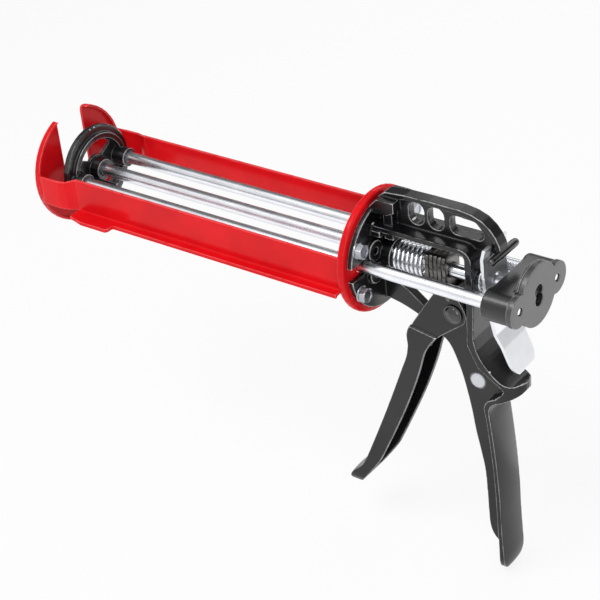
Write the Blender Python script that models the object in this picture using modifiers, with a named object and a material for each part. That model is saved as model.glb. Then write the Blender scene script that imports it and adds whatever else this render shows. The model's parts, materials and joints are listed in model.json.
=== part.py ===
# Three-rod caulking gun for rigid cartridges.
# Axes: X runs along the rods with the muzzle towards -X, -Y is the gun's left side, +Z is up.
# Shapes are drawn round the rod axis, with X = 0 at the front of the rear ring's end wall.
# A root empty then moves everything, so that the world origin is the palm's place on the handle.
import math

import bmesh
import bpy
from mathutils import Matrix, Vector

MM = 0.001

# Fits
GAP = 0.3 * MM
ROD_CLEARANCE = 0.4 * MM

# Cradle
CRADLE_LENGTH = 240.0 * MM
RAIL_HALF_WIDTH = 34.4 * MM
SHEET = 1.7 * MM
RAIL_TOP = 10.6 * MM
RAIL_BOTTOM = -11.0 * MM
FLANGE_REACH = 5.6 * MM
HEM_DEPTH = 1.0 * MM
TAB_REACH = 11.6 * MM
TAB_LENGTH = 31.7 * MM
CUP_DEPTH = 34.3 * MM
CUP_FLARE = 4.2 * MM
CUP_RIM_DEPTH = 5.0 * MM
NOTCH_HALF_WIDTH = 11.4 * MM
HORN_TIP_RADIUS = 3.2 * MM
RING_DEPTH = 2.6 * MM
RING_WALL = 2.0 * MM
RING_OPENING = 20.5 * MM

# Plunger
ROD_OFFSET = 20.2 * MM
SIDE_ROD_RADIUS = 4.0 * MM
CENTRE_ROD_RADIUS = 4.15 * MM
STUB_RADIUS = 2.1 * MM
PUSHER_RADIUS = 28.9 * MM
PUSHER_STEP_RADIUS = 24.0 * MM
PUSHER_FRONT = 14.5 * MM
YOKE_FRONT = 87.2 * MM
YOKE_LENGTH = 16.4 * MM
BARREL_RADIUS = 9.2 * MM
CAP_RADIUS = 19.1 * MM
CAP_LOBE_RADIUS = 9.9 * MM
CAP_THICKNESS = 3.4 * MM

# Casting
WEB_HALF = 3.0 * MM
RIB_HALF = 12.0 * MM
STRAP_HALF = 11.8 * MM
STRAP_EDGE = 1.7 * MM
BEAD_STEP = 1.2 * MM
FLANGE_MARGIN = 4.3 * MM
FLANGE_THICKNESS = 3.2 * MM
BOSS_RADIUS = 10.5 * MM
BOSS_END = 15.0 * MM
WALL_FRONT = 67.0 * MM
WALL_REAR = 71.5 * MM
PIVOT = (56.7 * MM, -22.6 * MM)
PIVOT_BOSS_RADIUS = 6.8 * MM
PIVOT_PIN_RADIUS = 3.0 * MM
HANDLE_DROP = 199.0 * MM
DRAWN_DROP = 199.0 * MM
HANDLE_TOP = 80.0 * MM

EAR_PLACE = (13.0 * MM, 7.3 * MM)
PLUG_CENTRE = (66.7 * MM, -69.4 * MM)
PLUG_RADIUS = 4.7 * MM

# Bolts that hold the casting to the ring
BOLT_MARGIN = 3.4 * MM
BOLT_ANGLE = math.radians(28)
BOLT_SHANK = 2.5 * MM
BOLT_HEAD = 5.0 * MM
BOLT_HEAD_HEIGHT = 5.0 * MM
NUT_RADIUS = 3.8 * MM
NUT_HEIGHT = 3.0 * MM

# Mechanism
CHEEK_OUTER = 10.0 * MM
CHEEK_INNER = 8.0 * MM
GRIP_HALF = 11.5 * MM
GRIP_WALL = 2.0 * MM
GRIP_EDGE = 2.2 * MM
EAR_HOLE = 2.2 * MM
ROLLER_RADIUS = 2.5 * MM
AXLE_RADIUS = 1.5 * MM
PLATE_COUNT = 5
PLATE_THICKNESS = 2.5 * MM
PLATE_HALF = 7.8 * MM
PLATE_LOW = -16.0 * MM
PLATE_HIGH = 11.0 * MM
PLATES_FRONT = 37.5 * MM
MAIN_SPRING_RADIUS = 8.6 * MM
MAIN_SPRING_WIRE = 0.9 * MM
MAIN_SPRING_TURNS = 8
RELEASE_SPRING_RADIUS = 7.4 * MM
RELEASE_SPRING_WIRE = 0.7 * MM
RELEASE_SPRING_TURNS = 1.5
RELEASE_SPRING_END = 78.5 * MM
RELEASE_HINGE = (81.8 * MM, 24.0 * MM)
RELEASE_HALF = 12.0 * MM
TAB_CORNER = 8.0 * MM
RELEASE_THICKNESS = 2.2 * MM

# The palm's place on the handle, in the rod axis frame
GRIP_POINT = Vector((78.0 * MM, 0.0, -110.0 * MM))

# Sizes that follow
CUP_FRONT = -CRADLE_LENGTH - 1.0 * MM
CUP_RADIUS = RAIL_HALF_WIDTH + CUP_FLARE
CUP_REAR = CUP_FRONT + CUP_DEPTH + GAP
RING_INNER = math.hypot(RAIL_HALF_WIDTH, RAIL_BOTTOM) + 0.5 * MM
RING_OUTER = RING_INNER + SHEET
FLANGE_FRONT = RING_WALL + GAP
FLANGE_REAR = FLANGE_FRONT + FLANGE_THICKNESS
FLANGE_RADIUS = RING_OUTER - FLANGE_MARGIN
BOLT_Y = (FLANGE_RADIUS - BOLT_MARGIN) * math.cos(BOLT_ANGLE)
BOLT_Z = (FLANGE_RADIUS - BOLT_MARGIN) * math.sin(BOLT_ANGLE)
PUSHER_FACE = CUP_FRONT + SHEET + PUSHER_FRONT
ROD_FRONT = PUSHER_FACE + 3.4 * MM
ROD_SHOULDER = YOKE_FRONT + YOKE_LENGTH - 1.5 * MM
YOKE_REAR = YOKE_FRONT + YOKE_LENGTH
CAP_FRONT = YOKE_REAR + GAP
CAP_REAR = CAP_FRONT + CAP_THICKNESS
PLATE_PITCH = PLATE_THICKNESS + GAP
PLATES_REAR = PLATES_FRONT + PLATE_COUNT * PLATE_PITCH - GAP
ROLLER_X = PLATES_REAR + GAP + ROLLER_RADIUS
ROLLER_Z = -13.0 * MM
SIDE_HOLE = SIDE_ROD_RADIUS + ROD_CLEARANCE
CENTRE_HOLE = CENTRE_ROD_RADIUS + ROD_CLEARANCE
BUSH_RADIUS = CENTRE_HOLE + 1.0 * MM
HANDLE_STRETCH = (HANDLE_DROP - HANDLE_TOP) / (DRAWN_DROP - HANDLE_TOP)

# Drawing planes: a drawing's first axis, its second axis and the way it is thickened
SIDE = Matrix(((1, 0, 0, 0), (0, 0, -1, 0), (0, 1, 0, 0), (0, 0, 0, 1)))
END = Matrix(((0, 0, 1, 0), (1, 0, 0, 0), (0, 1, 0, 0), (0, 0, 0, 1)))
PLAN = Matrix.Identity(4)


def clear_scene():
    for old in list(bpy.data.objects):
        bpy.data.objects.remove(old, do_unlink=True)


def make_collection(name):
    collection = bpy.data.collections.new(name)
    bpy.context.scene.collection.children.link(collection)
    return collection


def make_material(name, colour, roughness, metallic):
    material = bpy.data.materials.new(name)
    material.use_nodes = True
    shader = material.node_tree.nodes["Principled BSDF"]
    shader.inputs["Base Color"].default_value = (*colour, 1.0)
    shader.inputs["Roughness"].default_value = roughness
    shader.inputs["Metallic"].default_value = metallic
    return material


clear_scene()
parts = make_collection("caulking_gun")
cutters = make_collection("cutters")
root = bpy.data.objects.new("grip_frame", None)
parts.objects.link(root)
root.location = -GRIP_POINT

RED_PAINT = make_material("red_paint", (0.78, 0.01, 0.02), 0.3, 0.0)
BLACK_ENAMEL = make_material("black_enamel", (0.012, 0.012, 0.014), 0.3, 0.0)
BLACK_OXIDE = make_material("black_oxide", (0.05, 0.05, 0.055), 0.45, 0.6)
CHROME = make_material("chrome", (0.8, 0.81, 0.83), 0.15, 1.0)
ZINC = make_material("zinc", (0.6, 0.62, 0.66), 0.35, 1.0)
PALE_PLUG = make_material("pale_plug", (0.65, 0.67, 0.75), 0.5, 0.0)


def in_mm(points):
    return [tuple(value * MM for value in point) for point in points]


def arc(centre, radius, start, end, steps):
    """Points on a circle from start to end, both in degrees."""
    angles = [math.radians(start + (end - start) * step / steps) for step in range(steps + 1)]
    return [(centre[0] + radius * math.cos(a), centre[1] + radius * math.sin(a)) for a in angles]


def circle(centre, radius, steps=32):
    return arc(centre, radius, 0, 360 - 360 / steps, steps - 1)


def oblong(centre, width, height, radius, steps=5):
    """A rectangle with round corners."""
    a = width / 2 - radius
    b = height / 2 - radius
    corners = [(a, b, 0), (-a, b, 90), (-a, -b, 180), (a, -b, 270)]
    points = []
    for x, z, start in corners:
        points += arc((centre[0] + x, centre[1] + z), radius, start, start + 90, steps)
    return points


def rounded(points, radius, steps=4):
    """The same outline with each corner turned into an arc, as far as its sides allow."""
    result = []
    count = len(points)
    for index in range(count):
        corner = Vector(points[index])
        before = Vector(points[index - 1]) - corner
        after = Vector(points[(index + 1) % count]) - corner
        half = before.angle(after) / 2
        if half > math.radians(80):
            result.append(tuple(corner))
            continue
        reach = min(radius / math.tan(half), 0.45 * before.length, 0.45 * after.length)
        first = corner + before.normalized() * reach
        last = corner + after.normalized() * reach
        for step in range(steps + 1):
            t = step / steps
            point = first * (1 - t) ** 2 + corner * 2 * t * (1 - t) + last * t ** 2
            result.append(tuple(point))
    return result


def smooth_line(points, steps=3):
    """A Catmull-Rom curve through an open line of points."""
    line = []
    last = len(points) - 1
    for index in range(last):
        p0, p1, p2, p3 = (Vector(points[min(max(index + step, 0), last)]) for step in (-1, 0, 1, 2))
        for step in range(steps):
            t = step / steps
            curve = 2 * p1 + (p2 - p0) * t + (2 * p0 - 5 * p1 + 4 * p2 - p3) * t ** 2
            curve += (3 * p1 - p0 - 3 * p2 + p3) * t ** 3
            line.append(tuple(curve / 2))
    return line + [tuple(points[last])]


def place(name, mesh, matrix, collection):
    """Puts a mesh that was drawn on a plane into the rod axis frame."""
    mesh.transform(matrix)
    piece = bpy.data.objects.new(name, mesh)
    collection.objects.link(piece)
    piece.parent = root
    return piece


def drawn_mesh(name, curve):
    """The closed mesh of a curve that was drawn in millimetres, in metres."""
    guide = bpy.data.objects.new(name, curve)
    cutters.objects.link(guide)
    bpy.context.view_layer.update()
    evaluated = guide.evaluated_get(bpy.context.evaluated_depsgraph_get())
    mesh = bpy.data.meshes.new_from_object(evaluated)
    bpy.data.objects.remove(guide)
    shape = bmesh.new()
    shape.from_mesh(mesh)
    bmesh.ops.remove_doubles(shape, verts=shape.verts, dist=0.001)
    bmesh.ops.recalc_face_normals(shape, faces=shape.faces)
    shape.to_mesh(mesh)
    shape.free()
    mesh.transform(Matrix.Scale(MM, 4))
    return mesh


def flat(name, loops, half, plane=SIDE, shift=(0, 0, 0), collection=cutters):
    """A flat outline with holes, thickened by half on both sides of its plane."""
    curve = bpy.data.curves.new(name, "CURVE")
    curve.dimensions = "2D"
    curve.fill_mode = "BOTH"
    curve.extrude = half / MM
    for loop in loops:
        spline = curve.splines.new("POLY")
        spline.points.add(len(loop) - 1)
        for point, (across, up) in zip(spline.points, loop):
            point.co = (across / MM, up / MM, 0, 1)
        spline.use_cyclic_u = True
    return place(name, drawn_mesh(name, curve), Matrix.Translation(shift) @ plane, collection)


def band(name, loops, first, last, plane=END, collection=cutters):
    """A flat outline thickened between two places along the plane's third axis."""
    along = plane.to_3x3() @ Vector((0, 0, 1))
    shift = along * ((first + last) / 2)
    return flat(name, loops, abs(last - first) / 2, plane, shift, collection)


def box(name, low, high, collection=cutters):
    size = Vector(high) - Vector(low)
    middle = (Vector(high) + Vector(low)) / 2
    shape = bmesh.new()
    bmesh.ops.create_cube(shape, size=1, matrix=Matrix.Translation(middle) @ Matrix.Diagonal((*size, 1)))
    mesh = bpy.data.meshes.new(name)
    shape.to_mesh(mesh)
    shape.free()
    return place(name, mesh, Matrix.Identity(4), collection)


def cylinder(name, radius, first, last, centre=(0, 0), plane=END, sides=32, collection=cutters):
    """A cylinder between two places along the plane's third axis."""
    shape = bmesh.new()
    bmesh.ops.create_cone(
        shape, cap_ends=True, segments=sides, radius1=radius, radius2=radius, depth=abs(last - first)
    )
    mesh = bpy.data.meshes.new(name)
    shape.to_mesh(mesh)
    shape.free()
    move = Matrix.Translation((centre[0], centre[1], (first + last) / 2))
    return place(name, mesh, plane @ move, collection)


def turned(name, profile, closed=False, steps=48, collection=cutters, centre=(0, 0)):
    """A shape turned round an X axis from (radius, x) points that run down its outer side."""
    mesh = bpy.data.meshes.new(name)
    edges = [(i, i + 1) for i in range(len(profile) - 1)]
    if closed:
        edges.append((len(profile) - 1, 0))
    mesh.from_pydata([(radius, 0, along) for radius, along in profile], edges, [])
    piece = bpy.data.objects.new(name, mesh)
    collection.objects.link(piece)
    piece.parent = root
    piece.matrix_local = Matrix.Translation((0, *centre)) @ END
    screw = piece.modifiers.new("turn", "SCREW")
    screw.steps = steps
    screw.render_steps = steps
    screw.use_merge_vertices = True
    screw.merge_threshold = 1e-6
    return piece


def wire(name, points, radius):
    """A round wire along computed points."""
    curve = bpy.data.curves.new(name, "CURVE")
    curve.dimensions = "3D"
    curve.bevel_depth = radius / MM
    curve.bevel_resolution = 2
    curve.use_fill_caps = True
    spline = curve.splines.new("POLY")
    spline.points.add(len(points) - 1)
    for point, position in zip(spline.points, points):
        point.co = (*(value / MM for value in position), 1)
    return place(name, drawn_mesh(name, curve), Matrix.Identity(4), parts)


def boolean(piece, tool, operation):
    step = piece.modifiers.new(operation.lower(), "BOOLEAN")
    step.operation = operation
    step.object = tool
    step.solver = "EXACT"
    tool.hide_render = True
    tool.display_type = "WIRE"
    if tool.name not in cutters.objects:
        cutters.objects.link(tool)
        parts.objects.unlink(tool)


def cut(piece, *tools):
    for tool in tools:
        boolean(piece, tool, "DIFFERENCE")


def join(piece, *tools):
    for tool in tools:
        boolean(piece, tool, "UNION")


def soften(piece, width, angle=35, segments=1):
    step = piece.modifiers.new("edges", "BEVEL")
    step.width = width
    step.segments = segments
    step.limit_method = "ANGLE"
    step.angle_limit = math.radians(angle)


def end_corners(name, half, low, radius, first, last):
    """What rounds off the two lower corners of an upright strap, seen from behind."""
    for side in (-1, 1):
        start = 90 - 90 * side
        edge = arc((side * (half - radius), low + radius), radius, start, start - 90 * side, 8)
        beside = side * (half + MM)
        edge += [(side * (half - radius), low - MM), (beside, low - MM), (beside, low + radius)]
        yield band("%s_corner_%d" % (name, side), [edge], first, last)


def finish(piece, material, pivot=None):
    """Gives a finished piece its material, smooth shading and, where it turns, its pivot."""
    if pivot is not None:
        piece.data.transform(Matrix.Translation(-Vector(pivot)))
        piece.location = pivot
    piece.data.materials.clear()
    piece.data.materials.append(material)
    piece.data.shade_smooth()
    piece.data.set_sharp_from_angle(angle=math.radians(35))
    return piece


def offset_path(points, distance):
    """The same open path moved sideways, to its left."""
    moved = []
    for index, point in enumerate(points):
        before = Vector(points[max(index - 1, 0)])
        after = Vector(points[min(index + 1, len(points) - 1)])
        along = (after - before).normalized()
        moved.append((point[0] - along.y * distance, point[1] + along.x * distance))
    return moved


def cup_wall(name, side):
    """One flared side wall of the front cup, from the rim back to the rail."""
    flare = [(0.0, -1.1), (4.0, -0.2), (11.0, 0.0), (18.0, -0.1), (23.0, -1.0), (27.5, -3.2)]
    outer = [(CUP_FRONT + (3.5 + x) * MM, -(CUP_RADIUS + y * MM)) for x, y in flare]
    outer.append((CUP_REAR - GAP, -RAIL_HALF_WIDTH))
    outline = outer + list(reversed(offset_path(outer, SHEET)))
    outline = [(x, -side * y) for x, y in outline]
    wall = band(name, [outline], 2 * RAIL_BOTTOM, 2 * RAIL_TOP, PLAN)
    step = CUP_REAR - 8.0 * MM
    top = [(CUP_REAR + MM, RAIL_TOP), (CUP_REAR - MM, RAIL_TOP), (step, RAIL_TOP - 2.0 * MM)]
    top += [(CUP_FRONT, RAIL_TOP - 2.7 * MM)]
    limit = flat(name + "_side_view", [top + [(CUP_FRONT, RAIL_BOTTOM), (CUP_REAR + MM, RAIL_BOTTOM)]], 0.1)
    boolean(wall, limit, "INTERSECT")
    return wall


def front_yoke():
    inside = CUP_FRONT + SHEET
    rim = CUP_FRONT + CUP_RIM_DEPTH
    bend = 2.4 * MM
    profile = [(0, inside)]
    profile += arc((CUP_RADIUS - bend, inside + bend - SHEET), bend - SHEET, -90, 0, 2)
    profile += [(CUP_RADIUS - SHEET, rim), (CUP_RADIUS, rim)]
    profile += arc((CUP_RADIUS - bend, CUP_FRONT + bend), bend, 0, -90, 4)
    profile += [(0, CUP_FRONT)]
    yoke = turned("front_yoke", profile, steps=48, collection=parts)
    top = CUP_RADIUS + 2 * MM
    notch = arc((0, -MM), NOTCH_HALF_WIDTH, 180, 360, 12)
    # each horn's tip is an arc that meets the notch and the rim
    across = NOTCH_HALF_WIDTH + HORN_TIP_RADIUS
    tip = math.sqrt((CUP_RADIUS - HORN_TIP_RADIUS) ** 2 - across ** 2)
    side = arc((across, tip), HORN_TIP_RADIUS, 180, 78, 6)
    outline = notch + side + [(side[-1][0], top), (-side[-1][0], top)]
    outline += [(-y, z) for y, z in reversed(side)]
    join(yoke, cup_wall("cup_wall_left", -1), cup_wall("cup_wall_right", 1))
    cut(yoke, band("notch", [outline], CUP_FRONT - MM, rim + MM))
    return finish(yoke, RED_PAINT)


def side_rail(name, side):
    """A flat wall with an outward flange, a hem on its edge and a wide tab behind the cup."""
    edge = RAIL_HALF_WIDTH + FLANGE_REACH
    hem = RAIL_BOTTOM - SHEET - HEM_DEPTH
    inner = RAIL_HALF_WIDTH - SHEET
    section = [(inner, RAIL_TOP), (inner, RAIL_BOTTOM - SHEET), (edge - SHEET, RAIL_BOTTOM - SHEET)]
    section += [(edge - SHEET, hem), (edge, hem), (edge, RAIL_BOTTOM), (RAIL_HALF_WIDTH, RAIL_BOTTOM)]
    section += [(RAIL_HALF_WIDTH, RAIL_TOP)]
    section = [(side * y, z) for y, z in section]
    front = CUP_REAR
    rail = band(name, [section], front, -RING_DEPTH - GAP, collection=parts)
    tail = [(inner, RAIL_TOP), (inner, RAIL_BOTTOM)]
    tail += [(RAIL_HALF_WIDTH, RAIL_BOTTOM), (RAIL_HALF_WIDTH, RAIL_TOP)]
    tail = [(side * y, z) for y, z in tail]
    join(rail, band(name + "_tail", [tail], -RING_DEPTH - MM, -GAP))
    wide = RAIL_HALF_WIDTH + TAB_REACH
    tab = [(front, inner + SHEET / 2), (front, wide - 2.8 * MM), (front + 8.7 * MM, wide)]
    tab += [(front + TAB_LENGTH - 1.5 * MM, wide), (front + TAB_LENGTH, wide - 1.5 * MM)]
    tab += [(front + TAB_LENGTH, inner + SHEET / 2)]
    tab = [(x, side * y) for x, y in tab]
    join(rail, band(name + "_tab", [tab], RAIL_BOTTOM, hem + 0.2 * MM, PLAN))
    return finish(rail, RED_PAINT)


def rear_ring():
    lip = 1.2 * MM
    back = 2.0 * MM
    profile = [(RING_OPENING, RING_WALL)]
    profile += arc((RING_OUTER - back, RING_WALL - back), back, 90, 0, 4)
    profile += arc((RING_OUTER - lip, lip - RING_DEPTH), lip, 0, -90, 3)
    profile += [(RING_INNER, -RING_DEPTH), (RING_INNER, 0), (RING_OPENING, 0)]
    ring = turned("rear_ring", profile, closed=True, steps=48, collection=parts)
    for name, y, z in bolt_places():
        cut(ring, cylinder("ring_hole_" + name, BOLT_SHANK + GAP, -MM, RING_WALL + MM, (y, z), sides=16))
    for side in (-1, 1):
        cut(ring, cylinder("ring_bore_%d" % side, SIDE_HOLE, -MM, RING_WALL + MM, (side * ROD_OFFSET, 0)))
    return finish(ring, RED_PAINT)


def bolt_places():
    for row, z in (("upper", BOLT_Z), ("lower", -BOLT_Z)):
        for column, y in (("left", -BOLT_Y), ("right", BOLT_Y)):
            yield row + "_" + column, y, z


def handle_line(points):
    """Handle points in millimetres; below the tang they follow the handle's length."""
    line = []
    for x, z in in_mm(points):
        below = -HANDLE_TOP - z
        line.append((x, z if below < 0 else -HANDLE_TOP - below * HANDLE_STRETCH))
    return line


def web_outline():
    beam = [(FLANGE_FRONT + MM, 30.0 * MM)]
    beam += in_mm([(5, 37), (10, 41), (24, 42.2), (40, 42.4)])
    beam += smooth_line(in_mm([(60, 42.2), (68, 41), (74.3, 38.6), (79.4, 34.6), (82.8, 30.4), (84.8, 26.5)]))
    hook = in_mm([(85.8, 22.6), (86.2, 19.2), (83, 19.2)])
    wall = (WALL_FRONT + WALL_REAR) / 2
    hook += [(80 * MM, 20.5 * MM), (wall, 20.5 * MM), (wall, -14 * MM), (wall - 0.5 * MM, -37 * MM)]
    tang = in_mm([(73.5, -48.5), (83, -58.5), (89, -62.4), (93, -63.5), (94, -65.5)])
    tang += in_mm([(88, -70.6), (80.3, -77)])
    back = smooth_line([(77, -80), (78.9, -90.7), (81.6, -118.7), (83, -145), (83.6, -165), (84, -181.7)], 2)
    heel = [(83.6, -195), (81.8, -198), (79.8, -197.4), (77.6, -192)]
    palm = [(76.5, -185.6), (72.6, -181), (70.4, -173), (69.8, -155), (68.9, -134.9), (66.6, -121)]
    palm += [(63.6, -106.6), (61.4, -92), (58.7, -78.7), (55.7, -67), (52.2, -57.3), (49, -50.5)]
    palm += [(45.3, -46.5), (37, -41), (27.2, -35.4), (16, -31.5)]
    back = handle_line(back + heel + smooth_line(palm))
    gusset = [(FLANGE_FRONT + MM, -29.0 * MM)]
    return beam + hook + tang + back + gusset


def window_outline():
    """The opening round the spring and the drive plates."""
    left = BOSS_END - MM
    x, z = PIVOT
    low = in_mm([(22, -21), (31.9, -28.5), (45, -28.5)])
    over_boss = arc((x, z), PIVOT_BOSS_RADIUS, 160, 35, 6)
    right = WALL_FRONT + 0.5 * MM
    return [(left, 21 * MM), (left, -16.5 * MM)] + low + over_boss + [(right, -18.5 * MM), (right, 21 * MM)]


def slot_outlines():
    return [
        oblong((30.9 * MM, 32.6 * MM), 10.4 * MM, 14.2 * MM, 5.0 * MM),
        oblong((44.0 * MM, 32.6 * MM), 10.6 * MM, 14.2 * MM, 5.0 * MM),
        rounded(in_mm([(53.2, 26), (73.2, 26), (76, 30), (70, 37), (53.2, 38.2)]), 5.0 * MM),
    ]


def rib_outline():
    """The wide rib: beam floor, rear wall, back of the handle head and top of the tang."""
    front = WALL_FRONT
    rear = WALL_REAR
    top = 23.0 * MM
    floor = 20.0 * MM
    bend = 8.0 * MM
    outer = [(FLANGE_REAR - MM, top)] + arc((rear - bend, top - bend), bend, 90, 0, 5)
    outer += [(rear, -12.7 * MM), (rear - MM, -35 * MM)]
    lip = [(72.2, -42), (75.7, -48.4), (82.2, -55.6), (88.2, -60.2), (93.2, -61.6)]
    outer += smooth_line(in_mm(lip + [(97.4, -60.4)]))
    outer += smooth_line(in_mm([(99.6, -60.6), (100, -63.2), (97.6, -67.2), (93, -70.4), (83.5, -75.6)]))
    pocket = in_mm([(83.5, -71.4), (87.4, -67.8), (88.8, -64.9), (85.6, -61.7), (79, -57.2), (73, -53.6)])
    inner = [(front - 0.7 * MM, -40 * MM), (front - 0.7 * MM, -37 * MM), (front, -14 * MM)]
    corner = bend - (rear - front)
    inner += arc((front - corner, floor - corner), corner, 0, 90, 4)
    return outer + pocket + inner + [(FLANGE_REAR - MM, floor)]


def strap_outline():
    """The wide back strap of the handle."""
    rear = [(84.3, -74.7), (80.4, -78), (79, -82), (80.6, -90.7), (83.4, -118.7), (84.9, -145)]
    rear += [(85.2, -165), (85.8, -181.7), (86.2, -192), (85.4, -199), (82.8, -202.6), (80.2, -202)]
    front = [(80.8, -199), (81.8, -194), (81.8, -181.7), (81.3, -165), (81, -145), (79.6, -118.7)]
    front += [(76.9, -90.7), (75.4, -80.5), (78, -75), (84.3, -71.3)]
    return handle_line(smooth_line(rear) + smooth_line(front[:-1]) + front[-1:])


def side_ears():
    """Two round ears on each side of the boss."""
    ear = 6.5 * MM
    rear = FLANGE_REAR + 2.8 * MM
    for side in (-1, 1):
        for level in (-1, 1):
            centre = (side * EAR_PLACE[0], level * EAR_PLACE[1])
            name = "ear_%d_%d" % (side, level)
            yield cylinder(name, ear, FLANGE_REAR - MM, rear, centre, sides=24)


def ear_holes():
    for side in (-1, 1):
        for level in (-1, 1):
            name = "ear_hole_%d_%d" % (side, level)
            centre = (side * EAR_PLACE[0], level * EAR_PLACE[1])
            yield cylinder(name, EAR_HOLE, FLANGE_REAR - MM, FLANGE_REAR + 9 * MM, centre, sides=16)


def body_casting():
    casting = cylinder("body_casting", FLANGE_RADIUS, FLANGE_FRONT, FLANGE_REAR, sides=48, collection=parts)
    web = flat("web", [web_outline(), window_outline()] + slot_outlines(), WEB_HALF)
    rib = flat("rib", [rib_outline()], RIB_HALF)
    strap = flat("strap", [strap_outline()], STRAP_HALF)
    soften(strap, STRAP_EDGE, 50, 3)
    heel = handle_line([(0, -202.6)])[0][1]
    cut(strap, *end_corners("strap", STRAP_HALF, heel, 11.5 * MM, 70 * MM, 95 * MM))
    boss = cylinder("boss", BOSS_RADIUS, FLANGE_REAR - MM, BOSS_END)
    bead = flat("bead", [bead_outline()], WEB_HALF + BEAD_STEP)
    x, z = PIVOT
    hub = cylinder("hub", PIVOT_BOSS_RADIUS, -CHEEK_INNER + GAP, CHEEK_INNER - GAP, (x, z), SIDE, 24)
    join(casting, web, rib, strap, boss, bead, hub)
    join(casting, *side_ears())
    join(casting, *front_lugs())
    join(casting, crossbar())
    cut(casting, *ear_holes())
    cut(casting, *tang_corners())
    cut(casting, cylinder("rod_bore", CENTRE_HOLE, FLANGE_FRONT - MM, BOSS_END + MM))
    cut(casting, cylinder("bush_bore", BUSH_RADIUS + GAP, WALL_FRONT - 2 * MM, WALL_REAR + 2 * MM))
    for side in (-1, 1):
        y = side * ROD_OFFSET
        cut(casting, cylinder("side_bore_%d" % side, SIDE_HOLE, 0, FLANGE_REAR + 9 * MM, (y, 0), sides=24))
        corners = sorted((y, side * (FLANGE_RADIUS + MM)))
        low = (0, corners[0], -SIDE_HOLE)
        cut(casting, box("side_notch_%d" % side, low, (FLANGE_REAR + MM, corners[1], SIDE_HOLE)))
    for name, y, z in bolt_places():
        tool = cylinder("flange_hole_" + name, BOLT_SHANK + GAP, 0, FLANGE_REAR + MM, (y, z), sides=16)
        cut(casting, tool)
        spot = cylinder("spot_" + name, BOLT_HEAD + MM, FLANGE_REAR, FLANGE_REAR + 9 * MM, (y, z), sides=24)
        cut(casting, spot)
    pin = cylinder("pin_bore", PIVOT_PIN_RADIUS + GAP, -RIB_HALF, RIB_HALF, PIVOT, SIDE, 16)
    plug = cylinder("plug_bore", PLUG_RADIUS + GAP, -RIB_HALF, RIB_HALF, PLUG_CENTRE, SIDE, 24)
    cut(casting, pin, plug)
    return finish(casting, BLACK_ENAMEL)


def bead_outline():
    """The carry beam's cap, a little wider than its web, that runs down to the crossbar."""
    top = in_mm([(6, 38.2), (10.5, 41.8), (24, 43), (40, 43.2), (60, 43), (68.2, 41.8)])
    top += in_mm([(74.6, 39.4), (79.8, 35.4), (83.2, 31), (85.4, 26.5), (86.4, 21)])
    under = in_mm([(83.2, 21), (82.4, 26), (80.4, 30), (77.2, 33.6), (72.6, 36.8), (67.2, 38.6)])
    under += in_mm([(60, 39.8), (40, 40.2), (24, 40), (13, 38.2), (6, 34.6)])
    return top + under


def front_lugs():
    """The stepped block and the upright rib on each side where the beam meets the flange."""
    block = in_mm([(4, 30.5), (4, 34.5), (8.5, 39.2), (20, 39.2), (20, 33), (15, 30.5)])
    upright = in_mm([(11.5, 14), (11.5, 35), (13, 36.5), (16, 36.5), (17.5, 35), (17.5, 14)])
    yield flat("lug_block", [block], 10.0 * MM)
    yield flat("lug_upright", [upright], 8.0 * MM)
    yield box("lug_ledge", (4 * MM, -13.5 * MM, 17 * MM), (12 * MM, 13.5 * MM, 20.5 * MM))


def tang_corners():
    """What is taken off the tang so that it ends in a half round, seen from above."""
    start = 83.5 * MM
    end = 99.2 * MM
    for side in (-1, 1):
        quarter = arc((0, 0), 1, 90, 0, 8)
        outline = [(start + (end - start) * x, side * RIB_HALF * y) for x, y in quarter]
        beyond = end + 3 * MM
        beside = side * (RIB_HALF + MM)
        outline += [(beyond, 0), (beyond, beside), (start, beside)]
        yield band("tang_corner_%d" % side, [outline], -80 * MM, -50 * MM, PLAN)


def crossbar():
    outline = rounded(in_mm([(83, 19.2), (86.8, 19.2), (86.8, 22.8), (83, 22.8)]), 0.8 * MM, 2)
    return flat("crossbar", [outline], RIB_HALF + 0.3 * MM)


def flange_bolt(name, y, z):
    """A hexagon bolt with its nut: head behind the casting's flange, nut inside the ring."""
    head = FLANGE_REAR + GAP
    nut = -GAP - NUT_HEIGHT
    bolt = cylinder(
        "flange_bolt_" + name, BOLT_HEAD, head, head + BOLT_HEAD_HEIGHT, (y, z), sides=6, collection=parts
    )
    soften(bolt, 0.4 * MM)
    join(bolt, cylinder("shank_" + name, BOLT_SHANK, nut + MM, head + MM, (y, z), sides=16))
    join(bolt, cylinder("nut_" + name, NUT_RADIUS, nut, -GAP, (y, z), sides=6))
    return finish(bolt, ZINC)


def rear_bush():
    flange = 5.8 * MM
    collar = WALL_FRONT - GAP
    profile = [(CENTRE_HOLE, WALL_REAR), (BUSH_RADIUS, WALL_REAR), (BUSH_RADIUS, collar)]
    profile += [(flange, collar), (flange, collar - 2.5 * MM), (CENTRE_HOLE, collar - 2.5 * MM)]
    return finish(turned("rear_bush", profile, closed=True, steps=32, collection=parts), ZINC)


def handle_plug():
    half = WEB_HALF + 0.5 * MM
    plug = cylinder("handle_plug", PLUG_RADIUS, -half, half, PLUG_CENTRE, SIDE, 24, parts)
    soften(plug, 0.4 * MM)
    return finish(plug, PALE_PLUG)


def pivot_bolt():
    shaft_end = CHEEK_OUTER + 4.5 * MM
    head = CHEEK_OUTER + GAP
    bolt = cylinder("pivot_bolt", 6.0 * MM, head, head + 3.2 * MM, PIVOT, SIDE, 24, parts)
    soften(bolt, 1.0 * MM)
    join(bolt, cylinder("pivot_shank", PIVOT_PIN_RADIUS, head + MM, -shaft_end, PIVOT, SIDE, 16))
    return finish(bolt, BLACK_OXIDE)


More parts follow.
